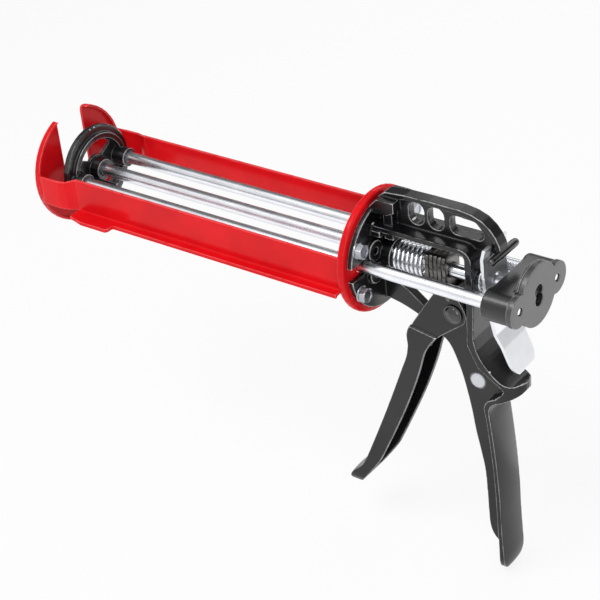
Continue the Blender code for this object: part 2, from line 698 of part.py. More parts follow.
def pivot_nut():
    inner = CHEEK_OUTER + GAP
    nut = cylinder("pivot_nut", 5.6 * MM, -inner, -inner - 4 * MM, PIVOT, SIDE, 6, parts)
    soften(nut, 0.4 * MM)
    cut(nut, cylinder("nut_bore", PIVOT_PIN_RADIUS + GAP, 0, -inner - 6 * MM, PIVOT, SIDE, 16))
    return finish(nut, BLACK_OXIDE)


def pusher():
    front = PUSHER_FACE
    rear = front + 5.0 * MM
    web_front = front + 0.8 * MM
    web_rear = front + 3.2 * MM
    recess = PUSHER_STEP_RADIUS - 3.5 * MM
    step = rear + 2.5 * MM
    profile = [(0, web_rear), (recess, web_rear), (recess, step), (PUSHER_STEP_RADIUS, step)]
    profile += [(PUSHER_STEP_RADIUS, rear)]
    profile += [(PUSHER_RADIUS - 0.8 * MM, rear), (PUSHER_RADIUS, rear - 0.8 * MM)]
    profile += [(PUSHER_RADIUS, front + 1.2 * MM), (PUSHER_RADIUS - 1.2 * MM, front)]
    profile += [(recess, front), (recess - 0.8 * MM, web_front), (0, web_front)]
    disc = turned("pusher", profile, steps=40, collection=parts)
    for start in (38, 218):
        inner = 8.8 * MM
        outer = PUSHER_STEP_RADIUS - 5.0 * MM
        sector = arc((0, 0), outer, start, start + 104, 10) + arc((0, 0), inner, start + 92, start + 12, 5)
        cut(disc, band("pusher_opening_%d" % start, [sector], front - MM, rear + MM))
    centre_end = rear + 5.5 * MM
    side_end = rear + 8.5 * MM
    join(disc, cylinder("centre_socket", CENTRE_ROD_RADIUS + 2.8 * MM, web_front + MM, centre_end, sides=32))
    arm = in_mm([(-14, -8), (-6, -8), (-6, -3.2), (-14, -5.4)])
    for side in (-1, 1):
        y = side * ROD_OFFSET
        radius = SIDE_ROD_RADIUS + 2.2 * MM
        join(disc, cylinder("side_socket_%d" % side, radius, web_front + MM, side_end, (y, 0), sides=28))
    join(disc, band("pusher_arm", [arm], web_front + MM, rear + 21 * MM))
    seat = ROD_FRONT - GAP
    cut(disc, cylinder("centre_seat", CENTRE_ROD_RADIUS + GAP, seat, centre_end + MM))
    for side in (-1, 1):
        y = side * ROD_OFFSET
        cut(disc, cylinder("side_seat_%d" % side, SIDE_ROD_RADIUS + GAP, seat, side_end + MM, (y, 0)))
    return finish(disc, BLACK_OXIDE)


def rod(name, radius, y):
    """A plain rod with a thinner riveted end that passes through the cap."""
    end = CAP_REAR - 0.8 * MM
    profile = [(0, end), (STUB_RADIUS, end), (STUB_RADIUS, ROD_SHOULDER), (radius, ROD_SHOULDER)]
    profile += [(radius, ROD_FRONT), (0, ROD_FRONT)]
    return finish(turned(name, profile, steps=32, collection=parts, centre=(y, 0)), CHROME)


def centre_rod():
    """The middle rod, which ends inside the cap."""
    end = ROD_SHOULDER
    chamfer = 0.6 * MM
    radius = CENTRE_ROD_RADIUS
    profile = [(0, end), (radius - chamfer, end), (radius, end - chamfer)]
    profile += [(radius, ROD_FRONT), (0, ROD_FRONT)]
    return finish(turned("centre_rod", profile, steps=32, collection=parts), CHROME)


def rear_yoke():
    top = BARREL_RADIUS
    width = ROD_OFFSET
    section = [(-width, top), (-width, -top), (width, -top), (width, top)]
    yoke = band("rear_yoke", [section], YOKE_FRONT + MM, YOKE_REAR - 0.8 * MM, collection=parts)
    for side in (-1, 1):
        y = side * ROD_OFFSET
        radius = BARREL_RADIUS + 0.1 * MM
        join(yoke, cylinder("barrel_%d" % side, radius, YOKE_FRONT, YOKE_REAR, (y, 0), sides=40))
    flange = CAP_RADIUS - 0.4 * MM
    join(yoke, cylinder("yoke_flange", flange, YOKE_REAR - 1.8 * MM, YOKE_REAR - 0.1 * MM, sides=56))
    cut(yoke, cylinder("yoke_bore", CENTRE_ROD_RADIUS + GAP, YOKE_FRONT - MM, YOKE_REAR + MM))
    for side in (-1, 1):
        centre = (side * ROD_OFFSET, 0)
        seat = SIDE_ROD_RADIUS + GAP
        stub = STUB_RADIUS + GAP
        cut(yoke, cylinder("yoke_seat_%d" % side, seat, YOKE_FRONT - MM, ROD_SHOULDER + GAP, centre))
        cut(yoke, cylinder("stub_bore_%d" % side, stub, ROD_SHOULDER - MM, YOKE_REAR + MM, centre, sides=20))
    return finish(yoke, BLACK_ENAMEL)


def yoke_plate():
    """A big disc with a lobe on each side and a keyhole in the middle."""
    plate = cylinder("yoke_plate", CAP_RADIUS, CAP_FRONT, CAP_REAR, sides=56, collection=parts)
    lobe_front = CAP_FRONT + 0.1 * MM
    lobe_rear = CAP_REAR - 0.02 * MM
    stub = STUB_RADIUS + GAP
    for side in (-1, 1):
        centre = (side * ROD_OFFSET, 0)
        lobe = cylinder("cap_lobe_%d" % side, CAP_LOBE_RADIUS, lobe_front, lobe_rear, centre, sides=40)
        bore = cylinder("lobe_bore_%d" % side, stub, CAP_FRONT - MM, CAP_REAR + MM, centre, sides=20)
        join(plate, lobe)
        cut(plate, bore)
    keyhole = 3.9 * MM
    for index, z in enumerate((2.4 * MM, -3.2 * MM)):
        tool = cylinder("keyhole_%d" % index, keyhole, CAP_FRONT - MM, CAP_REAR + MM, (0, z), sides=24)
        cut(plate, tool)
    return finish(plate, BLACK_ENAMEL)


def trigger():
    """Two cheeks that straddle the casting, and a channel grip that is open to the rear."""
    head = in_mm([(44, -12.5), (36, -24.5), (28.5, -36.2), (26, -41), (25, -46)])
    head += in_mm([(40, -50), (43.5, -44), (48.5, -39.6), (55.7, -33.8)])
    x, z = PIVOT
    head += arc((x, z), 8.4 * MM, -60, 25, 5)
    head += in_mm([(61, -13.5), (58.5, -9.6), (52, -8.6), (46.5, -9.6)])
    front = [(26, -39.5), (24, -45), (22.2, -60), (16.2, -76), (5, -104.5), (-8, -135.5)]
    front += [(-17.6, -156.5), (-25, -164), (-28.2, -168.2), (-29, -171.4), (-27.6, -174.4)]
    rear = [(-24.4, -175.4), (-21, -173.6), (-13.6, -164.4), (-3.7, -150.2), (0.9, -141.5), (12.2, -117.7), (22.2, -95.1)]
    rear += [(31.1, -71.6), (35.7, -56.5), (40.6, -47.7), (44.5, -42.5)]
    front = smooth_line(in_mm(front))
    lever = flat("trigger", [head], CHEEK_OUTER, collection=parts)
    grip = flat("grip", [front + smooth_line(in_mm(rear))], GRIP_HALF)
    soften(grip, GRIP_EDGE, 50, 3)
    cut(grip, *end_corners("grip", GRIP_HALF, -175.6 * MM, 9.0 * MM, -45 * MM, -10 * MM))
    join(lever, grip)
    shell = [point for point in offset_path(front, 2.4 * MM) if -160 * MM < point[1] < -45 * MM]
    slot = shell + in_mm([(-22, -166), (-20, -168.6), (-8, -171), (70, -100), (70, -45)])
    channel = flat("channel", [slot], GRIP_HALF - GRIP_WALL)
    clevis = flat("clevis", [in_mm([(10, -43), (80, -60), (80, 0), (10, 0)])], CHEEK_INNER)
    pin = cylinder("trigger_bore", PIVOT_PIN_RADIUS + GAP, -GRIP_HALF, GRIP_HALF, PIVOT, SIDE, 16)
    axle = cylinder("axle_bore", AXLE_RADIUS + GAP, -GRIP_HALF, GRIP_HALF, (ROLLER_X, ROLLER_Z), SIDE, 12)
    cut(lever, channel, clevis, pin, axle)
    return finish(lever, BLACK_ENAMEL, (x, 0, z))


def trigger_roller():
    """The roller that pushes the drive plates, on a thin axle through both cheeks."""
    centre = (ROLLER_X, ROLLER_Z)
    half = CHEEK_INNER - GAP
    axle = CHEEK_OUTER + 0.6 * MM
    roller = cylinder("trigger_roller", ROLLER_RADIUS, -half, half, centre, SIDE, 20, parts)
    join(roller, cylinder("roller_axle", AXLE_RADIUS, -axle, axle, centre, SIDE, 12))
    x, z = PIVOT
    return finish(roller, ZINC, (x, 0, z))


def drive_plate(index):
    front = PLATES_FRONT + index * PLATE_PITCH
    middle = (PLATE_LOW + PLATE_HIGH) / 2
    outline = oblong((0, middle), 2 * PLATE_HALF, PLATE_HIGH - PLATE_LOW, 2.5 * MM, 3)
    hole = circle((0, 0), CENTRE_HOLE, 28)
    rear = front + PLATE_THICKNESS
    plate = band("drive_plate_%d" % (index + 1), [outline, hole], front, rear, collection=parts)
    return finish(plate, ZINC)


def coil(name, radius, wire_radius, first, last, turns, per_turn=14):
    """An open coil between two planes, its wire just inside them."""
    start = first + wire_radius
    length = last - first - 2 * wire_radius
    count = round(turns * per_turn)
    points = []
    for step in range(count + 1):
        share = step / count
        angle = 2 * math.pi * turns * share
        points.append((start + length * share, radius * math.cos(angle), radius * math.sin(angle)))
    return finish(wire(name, points, wire_radius), ZINC)


def release_plate():
    """A bent lever hung in front of the crossbar, with a hole for the rod and a thumb tab."""
    half = RELEASE_THICKNESS / 2
    path = in_mm([(80.2, 26.5), (78.6, 20.5), (78.8, 10), (80, 0), (82.8, -17)])
    path += in_mm([(85.2, -27), (89.8, -34.5), (97.4, -51.6)])
    outline = offset_path(path, half) + list(reversed(offset_path(path, -half)))
    plate = flat("release_plate", [outline], RELEASE_HALF, collection=parts)
    slot = WEB_HALF + BEAD_STEP + 0.8 * MM
    cut(plate, box("ear_gap", (70 * MM, -slot, 17 * MM), (90 * MM, slot, 40 * MM)))
    hole = oblong((0, 0), 2 * (CENTRE_ROD_RADIUS + 1.2 * MM), 2 * (CENTRE_ROD_RADIUS + 1.8 * MM), 5.2 * MM, 6)
    cut(plate, band("release_hole", [hole], 74 * MM, 84 * MM))
    cut(plate, *end_corners("tab", RELEASE_HALF, -52.4 * MM, TAB_CORNER, 86 * MM, 104 * MM))
    x, z = RELEASE_HINGE
    return finish(plate, ZINC, (x, 0, z))


front_yoke()
side_rail("left_rail", -1)
side_rail("right_rail", 1)
rear_ring()
body_casting()
for bolt_name, bolt_y, bolt_z in bolt_places():
    flange_bolt(bolt_name, bolt_y, bolt_z)
rear_bush()
handle_plug()
pivot_bolt()
pivot_nut()
pusher()
rod("left_rod", SIDE_ROD_RADIUS, -ROD_OFFSET)
centre_rod()
rod("right_rod", SIDE_ROD_RADIUS, ROD_OFFSET)
rear_yoke()
yoke_plate()
trigger()
trigger_roller()
for plate_index in range(PLATE_COUNT):
    drive_plate(plate_index)
main_ends = (BOSS_END + GAP, PLATES_FRONT - GAP)
coil("main_spring", MAIN_SPRING_RADIUS, MAIN_SPRING_WIRE, *main_ends, MAIN_SPRING_TURNS)
release_ends = (WALL_REAR + GAP, RELEASE_SPRING_END)
coil("release_spring", RELEASE_SPRING_RADIUS, RELEASE_SPRING_WIRE, *release_ends, RELEASE_SPRING_TURNS)
release_plate()
bpy.context.view_layer.update()
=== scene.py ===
import json
import math

import bmesh
import bpy
import numpy as np
from mathutils import Matrix, Vector


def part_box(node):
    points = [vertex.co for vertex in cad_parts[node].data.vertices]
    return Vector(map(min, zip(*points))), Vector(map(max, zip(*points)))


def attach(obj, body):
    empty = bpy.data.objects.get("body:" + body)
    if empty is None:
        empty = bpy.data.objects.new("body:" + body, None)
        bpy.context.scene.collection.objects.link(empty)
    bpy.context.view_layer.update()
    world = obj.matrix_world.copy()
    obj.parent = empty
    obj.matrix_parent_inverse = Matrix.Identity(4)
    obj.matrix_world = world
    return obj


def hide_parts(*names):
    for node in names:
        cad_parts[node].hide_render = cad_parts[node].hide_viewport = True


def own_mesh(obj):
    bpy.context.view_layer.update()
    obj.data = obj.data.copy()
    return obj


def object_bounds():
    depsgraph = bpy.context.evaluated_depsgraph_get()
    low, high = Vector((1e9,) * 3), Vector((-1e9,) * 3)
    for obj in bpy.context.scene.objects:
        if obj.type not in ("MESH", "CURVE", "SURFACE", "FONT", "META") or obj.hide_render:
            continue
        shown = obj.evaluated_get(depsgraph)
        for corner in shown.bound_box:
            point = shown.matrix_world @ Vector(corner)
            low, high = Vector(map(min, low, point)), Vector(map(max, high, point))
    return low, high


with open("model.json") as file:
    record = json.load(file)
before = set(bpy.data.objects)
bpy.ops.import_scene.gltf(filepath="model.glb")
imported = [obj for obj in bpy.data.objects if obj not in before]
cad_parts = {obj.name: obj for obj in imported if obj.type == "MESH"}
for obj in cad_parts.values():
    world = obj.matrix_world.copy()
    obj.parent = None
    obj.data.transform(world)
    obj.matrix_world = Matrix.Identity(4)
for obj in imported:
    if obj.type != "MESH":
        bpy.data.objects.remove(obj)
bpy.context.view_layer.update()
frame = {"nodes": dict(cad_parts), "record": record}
nodes = frame["nodes"]
mm = 0.001
rodHeight = (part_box("centre_rod")[0].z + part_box("centre_rod")[1].z) / 2  # height of the rods' common plane
sharpAngle = math.radians(50)  # creases steeper than this stay crisp
behaviour = frame["record"]["behaviour"]
slotOf = {part["node"]: part["material_slot"] for part in frame["record"]["subparts"]}
bodyOf = {}
for bodyName, members in behaviour["bodies"].items():
    bodyOf.update(dict.fromkeys(members, bodyName))
print("frame loaded:", len(nodes), "nodes")


def adoptMesh(name, mesh, nodeName, stands=True):
    # a smooth-shaded piece that takes its body and finish from a CAD node, and may stand for that node
    mesh.materials.clear()
    mesh.materials.append(finishFor(nodeName))
    mesh.shade_smooth()
    mesh.set_sharp_from_angle(angle=sharpAngle)
    piece = bpy.data.objects.new(name, mesh)
    bpy.context.scene.collection.objects.link(piece)
    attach(piece, bodyOf[nodeName])
    if stands:
        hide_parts(nodeName)
    return piece


def finishPiece(name, points, faces, nodeName, stands=True):
    # a new mesh from lists of points and faces, with its faces turned outwards
    mesh = bpy.data.meshes.new(name)
    mesh.from_pydata(points, [], faces)
    mesh.validate()
    return facingOut(adoptMesh(name, mesh, nodeName, stands))


def facingOut(piece):
    # neighbouring faces are made to agree, and all are flipped if they enclose less than nothing
    shape = bmesh.new()
    shape.from_mesh(piece.data)
    bmesh.ops.recalc_face_normals(shape, faces=shape.faces)
    if shape.calc_volume(signed=True) < 0:
        bmesh.ops.reverse_faces(shape, faces=shape.faces)
    shape.to_mesh(piece.data)
    shape.free()
    return piece


def weld(mesh, distance):
    # points closer than the distance become one
    shape = bmesh.new()
    shape.from_mesh(mesh)
    bmesh.ops.remove_doubles(shape, verts=shape.verts, dist=distance)
    shape.to_mesh(mesh)
    shape.free()


def readPoints(mesh):
    points = np.zeros(len(mesh.vertices) * 3)
    mesh.vertices.foreach_get("co", points)
    return points.reshape(-1, 3)


def writePoints(mesh, points):
    mesh.vertices.foreach_set("co", points.ravel())
    mesh.update()


def gridFaces(rows, columns, closedRows=False, closedColumns=False):
    # quads between neighbouring rows and columns of a grid, wrapped where it is closed
    row = np.arange(rows if closedRows else rows - 1)
    column = np.arange(columns if closedColumns else columns - 1)
    row, column = np.meshgrid(row, column, indexing="ij")
    nextRow = (row + 1) % rows
    nextColumn = (column + 1) % columns
    corners = [(row, column), (row, nextColumn), (nextRow, nextColumn), (nextRow, column)]
    return np.stack([atRow * columns + atColumn for atRow, atColumn in corners], axis=-1).reshape(-1, 4)


def aroundAxis(x, radius, centre):
    # points round an X axis: y = radius cos(angle), z = radius sin(angle); radius has a row for each x
    sides = radius.shape[1]
    angle = np.linspace(0, 2 * np.pi, sides, endpoint=False)
    along = np.repeat(np.asarray(x)[:, None], sides, axis=1)
    y = centre[0] + radius * np.cos(angle)
    z = centre[1] + radius * np.sin(angle)
    return np.stack([along, y, z], axis=-1)


def closedEnds(name, x, radius, poles, centre, nodeName):
    # rows round an X axis, with quads between them and a fan of triangles onto a pole at each end
    grid = aroundAxis(x, radius, centre)
    rows, sides = radius.shape
    points = grid.reshape(-1, 3).tolist() + [[pole, *centre] for pole in poles]
    around = np.arange(sides)
    after = (around + 1) % sides
    first, last, lastRow = rows * sides, rows * sides + 1, (rows - 1) * sides
    faces = gridFaces(rows, sides, closedColumns=True).tolist()
    faces += np.stack([np.full(sides, first), after, around], axis=-1).tolist()
    faces += np.stack([np.full(sides, last), lastRow + around, lastRow + after], axis=-1).tolist()
    return finishPiece(name, points, faces, nodeName)


def roundedProfile(corners, radius, steps=5):
    # an open line of (x, radius) corners; each inner corner becomes a curve that blends the point before
    # it, the corner and the point after it by (1 - s) squared, 2 s (1 - s) and s squared
    corners = [np.array(corner, float) for corner in corners]
    line = [corners[0]]
    for before, corner, after in zip(corners, corners[1:], corners[2:]):
        back = before - corner
        ahead = after - corner
        reach = min(radius, 0.45 * np.linalg.norm(back), 0.45 * np.linalg.norm(ahead))
        first = corner + back / np.linalg.norm(back) * reach
        last = corner + ahead / np.linalg.norm(ahead) * reach
        share = np.linspace(0, 1, steps)[:, None]
        line.extend(first * (1 - share) ** 2 + corner * 2 * share * (1 - share) + last * share ** 2)
    line.append(corners[-1])
    return np.array(line)


def turnedPiece(name, corners, centre, nodeName, bend, sides):
    # a closed turned shape: its profile starts and ends on the axis
    profile = roundedProfile(corners, bend)
    radius = np.repeat(profile[1:-1, 1:], sides, axis=1)
    return closedEnds(name, profile[1:-1, 0], radius, profile[[0, -1], 0], centre, nodeName)


def acrossTurned(name, corners, centre, nodeName, bend, sides):
    # a turned piece whose axis runs across the body: it is turned about X, then swung to lie along Y
    piece = turnedPiece(name, corners, (0, 0), nodeName, bend, sides)
    x, y, z = readPoints(piece.data).T
    writePoints(piece.data, np.stack([centre[0] + y, x, centre[1] + z], axis=-1))
    return facingOut(piece)


def ringSolid(name, rows, centre, nodeName):
    # a closed ring of rows (x, radius at each angle), such as a plate with a hole
    x, radius = (np.array(part) for part in zip(*rows))
    points = aroundAxis(x, radius, centre).reshape(-1, 3).tolist()
    faces = gridFaces(*radius.shape, closedRows=True, closedColumns=True).tolist()
    return finishPiece(name, points, faces, nodeName)


def tubePiece(name, path, radius, sides, nodeName, stands=True):
    # a circle carried along a path, set square to the path and to X, with round domes at the ends
    path = np.asarray(path, float)
    tangent = np.gradient(path, axis=0)
    tangent /= np.linalg.norm(tangent, axis=1)[:, None]
    side = np.cross(tangent, (1.0, 0.0, 0.0))
    side /= np.linalg.norm(side, axis=1)[:, None]
    up = np.cross(side, tangent)
    angle = np.linspace(0, 2 * np.pi, sides, endpoint=False)[None, :, None]
    ring = side[:, None] * np.cos(angle) + up[:, None] * np.sin(angle)
    dome = np.linspace(0.25, 1, 4)[:, None, None] * np.pi / 2
    start = path[0] - tangent[0] * radius * np.sin(dome) + ring[0] * radius * np.cos(dome)
    end = path[-1] + tangent[-1] * radius * np.sin(dome) + ring[-1] * radius * np.cos(dome)
    grid = np.concatenate([start[::-1], path[:, None] + ring * radius, end])
    faces = gridFaces(len(grid), sides, closedColumns=True).tolist()
    piece = finishPiece(name, grid.reshape(-1, 3).tolist(), faces, nodeName, stands)
    weld(piece.data, distance=1e-7)
    return facingOut(piece)


def newGroup(name, inputs, outputs):
    # an empty shader group with its sockets; a tuple as the starting value makes a colour socket
    group = bpy.data.node_groups.new(name, "ShaderNodeTree")
    for label, value in inputs:
        kind = "NodeSocketColor" if isinstance(value, tuple) else "NodeSocketFloat"
        socket = group.interface.new_socket(name=label, in_out="INPUT", socket_type=kind)
        socket.default_value = value
    for label, kind in outputs:
        group.interface.new_socket(name=label, in_out="OUTPUT", socket_type=kind)
    return group, group.nodes.new("NodeGroupInput"), group.nodes.new("NodeGroupOutput")


def feed(tree, value, socket):
    # a socket is linked, and a plain number is set
    if isinstance(value, bpy.types.NodeSocket):
        tree.links.new(value, socket)
    else:
        socket.default_value = value


def mathNode(tree, operation, first, second, clamp=False):
    node = tree.nodes.new("ShaderNodeMath")
    node.operation = operation
    node.use_clamp = clamp
    feed(tree, first, node.inputs[0])
    feed(tree, second, node.inputs[1])
    return node.outputs[0]


def rangeNode(tree, value, low, high, toLow, toHigh):
    node = tree.nodes.new("ShaderNodeMapRange")
    node.clamp = True
    tree.links.new(value, node.inputs["Value"])
    for label, number in (("From Min", low), ("From Max", high), ("To Min", toLow), ("To Max", toHigh)):
        feed(tree, number, node.inputs[label])
    return node.outputs["Result"]


def noiseNode(tree, scale, detail, stretch=None):
    coordinates = tree.nodes.new("ShaderNodeTexCoord")
    vector = coordinates.outputs["Object"]
    if stretch:
        mapping = tree.nodes.new("ShaderNodeMapping")
        mapping.inputs["Scale"].default_value = stretch
        tree.links.new(vector, mapping.inputs["Vector"])
        vector = mapping.outputs["Vector"]
    noise = tree.nodes.new("ShaderNodeTexNoise")
    noise.inputs["Detail"].default_value = detail
    tree.links.new(vector, noise.inputs["Vector"])
    feed(tree, scale, noise.inputs["Scale"])
    return noise.outputs["Fac"]


def mixColour(tree, share, first, second):
    # each colour is a socket or three numbers
    node = tree.nodes.new("ShaderNodeMix")
    node.data_type = "RGBA"
    tree.links.new(share, node.inputs["Factor"])
    for label, value in (("A", first), ("B", second)):
        feed(tree, (*value, 1.0) if isinstance(value, tuple) else value, node.inputs[label])
    return node.outputs["Result"]


skinNoise = {"drift": 38.0, "fine": 2600.0, "fineShare": 0.25}
# noise that breaks up the painted edge highlight
edgeHighlightNoise = {"scale": 180.0, "detail": 5.0, "least": 0.25}
grainNoise = {"stretch": (0.03, 1.0, 1.0), "streakShare": 0.6, "cloud": 90.0, "cloudShare": 0.4}
bumpDepth = {"paint": 0.2 * mm, "metal": 0.1 * mm}


def makePaintSkin():
    # sprayed paint: slow colour drift, a fine orange-peel height, and a roughness that follows the drift
    group, given, result = newGroup(
        "paintSkin",
        [("Colour", (0.5, 0.5, 0.5, 1)), ("Deep Colour", (0.4, 0.4, 0.4, 1)), ("Peel Scale", 600.0),
         ("Roughness", 0.3), ("Roughness Spread", 0.06)],
        [("Colour", "NodeSocketColor"), ("Roughness", "NodeSocketFloat"), ("Height", "NodeSocketFloat")],
    )
    drift = noiseNode(group, skinNoise["drift"], 4.0)
    peel = noiseNode(group, given.outputs["Peel Scale"], 2.0)
    fine = noiseNode(group, skinNoise["fine"], 2.0)
    share = rangeNode(group, drift, 0.35, 0.65, 0.0, 1.0)
    colour = mixColour(group, share, given.outputs["Colour"], given.outputs["Deep Colour"])
    smear = rangeNode(group, drift, 0.3, 0.7, -0.5, 0.5)
    spread = mathNode(group, "MULTIPLY", smear, given.outputs["Roughness Spread"])
    rough = mathNode(group, "ADD", given.outputs["Roughness"], spread)
    height = mathNode(group, "ADD", peel, mathNode(group, "MULTIPLY", fine, skinNoise["fineShare"]))
    group.links.new(colour, result.inputs["Colour"])
    group.links.new(rough, result.inputs["Roughness"])
    group.links.new(height, result.inputs["Height"])
    return group


def makePaintedEdgeHighlight():
    # a mask of outer edges that takes a painted highlight, broken up by noise
    group, given, result = newGroup(
        "paintedEdgeHighlight", [("Amount", 0.3), ("Low", 0.52), ("High", 0.62)], [("Mask", "NodeSocketFloat")]
    )
    point = group.nodes.new("ShaderNodeNewGeometry").outputs["Pointiness"]
    edge = rangeNode(group, point, given.outputs["Low"], given.outputs["High"], 0.0, 1.0)
    cloud = noiseNode(group, edgeHighlightNoise["scale"], edgeHighlightNoise["detail"])
    patch = rangeNode(group, cloud, 0.3, 0.5, edgeHighlightNoise["least"], 1.0)
    mask = mathNode(group, "MULTIPLY", edge, patch)
    mask = mathNode(group, "MULTIPLY", mask, given.outputs["Amount"], clamp=True)
    group.links.new(mask, result.inputs["Mask"])
    return group


def makeMetalGrain():
    # drawn or ground metal: long thin streaks along X, with a shade, a height and a roughness
    group, given, result = newGroup(
        "metalGrain", [("Streak Scale", 900.0), ("Roughness", 0.2), ("Spread", 0.1)],
        [("Shade", "NodeSocketFloat"), ("Roughness", "NodeSocketFloat"), ("Height", "NodeSocketFloat")],
    )
    streak = noiseNode(group, given.outputs["Streak Scale"], 4.0, grainNoise["stretch"])
    cloud = noiseNode(group, grainNoise["cloud"], 4.0)
    streakShare = mathNode(group, "MULTIPLY", streak, grainNoise["streakShare"])
    cloudShare = mathNode(group, "MULTIPLY", cloud, grainNoise["cloudShare"])
    both = mathNode(group, "ADD", streakShare, cloudShare)
    centred = rangeNode(group, both, 0.3, 0.7, -0.5, 0.5)
    spread = mathNode(group, "MULTIPLY", centred, given.outputs["Spread"])
    rough = mathNode(group, "ADD", given.outputs["Roughness"], spread)
    group.links.new(rangeNode(group, both, 0.3, 0.7, 0.0, 1.0), result.inputs["Shade"])
    group.links.new(rough, result.inputs["Roughness"])
    group.links.new(streak, result.inputs["Height"])
    return group


paintSkin = makePaintSkin()
paintedEdgeHighlight = makePaintedEdgeHighlight()
metalGrain = makeMetalGrain()


def newMaterial(name):
    material = bpy.data.materials.new(name)
    material.use_nodes = True
    return material, material.node_tree, material.node_tree.nodes["Principled BSDF"]


def placeGroup(tree, group, values):
    node = tree.nodes.new("ShaderNodeGroup")
    node.node_tree = group
    for label, value in values.items():
        node.inputs[label].default_value = (*value, 1.0) if isinstance(value, tuple) else value
    return node


def addBump(tree, shader, height, strength, distance):
    bump = tree.nodes.new("ShaderNodeBump")
    bump.inputs["Strength"].default_value = strength
    bump.inputs["Distance"].default_value = distance
    tree.links.new(height, bump.inputs["Height"])
    tree.links.new(bump.outputs["Normal"], shader.inputs["Normal"])


def paintedMaterial(name, look):
    material, tree, shader = newMaterial(name)
    skin = placeGroup(tree, paintSkin, {
        "Colour": look["colour"], "Deep Colour": look["deepColour"], "Peel Scale": look["peelScale"],
        "Roughness": look["roughness"], "Roughness Spread": look["roughnessSpread"],
    })
    # painted highlight: a lighter colour mixed in along outer edges
    edgeHighlight = placeGroup(tree, paintedEdgeHighlight, {"Amount": look["edgeHighlight"], "Low": look["highlightLow"], "High": look["highlightHigh"]})
    colour = mixColour(tree, edgeHighlight.outputs["Mask"], skin.outputs["Colour"], look["paintedHighlightColour"])
    tree.links.new(colour, shader.inputs["Base Color"])
    tree.links.new(skin.outputs["Roughness"], shader.inputs["Roughness"])
    shader.inputs["Specular IOR Level"].default_value = look["specular"]
    addBump(tree, shader, skin.outputs["Height"], look["bump"], bumpDepth["paint"])
    return material


def metalMaterial(name, look):
    material, tree, shader = newMaterial(name)
    grain = placeGroup(tree, metalGrain, {
        "Streak Scale": look["streakScale"], "Roughness": look["roughness"], "Spread": look["spread"],
    })
    colour = mixColour(tree, grain.outputs["Shade"], look["darkColour"], look["colour"])
    tree.links.new(colour, shader.inputs["Base Color"])
    tree.links.new(grain.outputs["Roughness"], shader.inputs["Roughness"])
    shader.inputs["Metallic"].default_value = 1.0
    addBump(tree, shader, grain.outputs["Height"], look["bump"], bumpDepth["metal"])
    return material


# the edge colour, a painted highlight, shows on outer edges, between the two levels of edge sharpness named
# low and high
paintLooks = {
    "redPaint": {
        "colour": (0.78, 0.007, 0.012), "deepColour": (0.66, 0.005, 0.009), "paintedHighlightColour": (1.0, 0.16, 0.17),
        "peelScale": 420.0, "roughness": 0.2, "roughnessSpread": 0.06,
        "edgeHighlight": 1.0, "highlightLow": 0.515, "highlightHigh": 0.57, "specular": 0.12, "bump": 0.05,
    },
    "blackEnamel": {
        "colour": (0.005, 0.005, 0.006), "deepColour": (0.003, 0.003, 0.004), "paintedHighlightColour": (0.8, 0.8, 0.82),
        "peelScale": 520.0, "roughness": 0.26, "roughnessSpread": 0.08,
        "edgeHighlight": 1.0, "highlightLow": 0.52, "highlightHigh": 0.565, "specular": 0.4, "bump": 0.08,
    },
    "blackOxide": {
        "colour": (0.008, 0.008, 0.009), "deepColour": (0.005, 0.005, 0.006), "paintedHighlightColour": (0.3, 0.3, 0.31),
        "peelScale": 900.0, "roughness": 0.3, "roughnessSpread": 0.1,
        "edgeHighlight": 0.6, "highlightLow": 0.52, "highlightHigh": 0.58, "specular": 0.5, "bump": 0.12,
    },
    "palePlug": {
        "colour": (0.66, 0.68, 0.71), "deepColour": (0.58, 0.6, 0.64), "paintedHighlightColour": (0.8, 0.8, 0.82),
        "peelScale": 900.0, "roughness": 0.42, "roughnessSpread": 0.08,
        "edgeHighlight": 0.3, "highlightLow": 0.52, "highlightHigh": 0.6, "specular": 0.5, "bump": 0.05,
    },
    "capEnamel": {
        "colour": (0.022, 0.022, 0.024), "deepColour": (0.016, 0.016, 0.018), "paintedHighlightColour": (0.5, 0.5, 0.52),
        "peelScale": 520.0, "roughness": 0.36, "roughnessSpread": 0.08,
        "edgeHighlight": 0.9, "highlightLow": 0.52, "highlightHigh": 0.58, "specular": 0.9, "bump": 0.14,
    },
    "glossEnamel": {
        "colour": (0.008, 0.008, 0.009), "deepColour": (0.005, 0.005, 0.006), "paintedHighlightColour": (0.6, 0.6, 0.62),
        "peelScale": 520.0, "roughness": 0.28, "roughnessSpread": 0.1,
        "edgeHighlight": 1.0, "highlightLow": 0.52, "highlightHigh": 0.565, "specular": 0.65, "bump": 0.2,
    },
    "barEnamel": {
        "colour": (0.005, 0.005, 0.006), "deepColour": (0.003, 0.003, 0.004),
        "paintedHighlightColour": (0.05, 0.05, 0.055), "peelScale": 520.0, "roughness": 0.16, "roughnessSpread": 0.06,
        "edgeHighlight": 0.0, "highlightLow": 0.6, "highlightHigh": 0.7, "specular": 0.9, "bump": 0.08,
    },
}
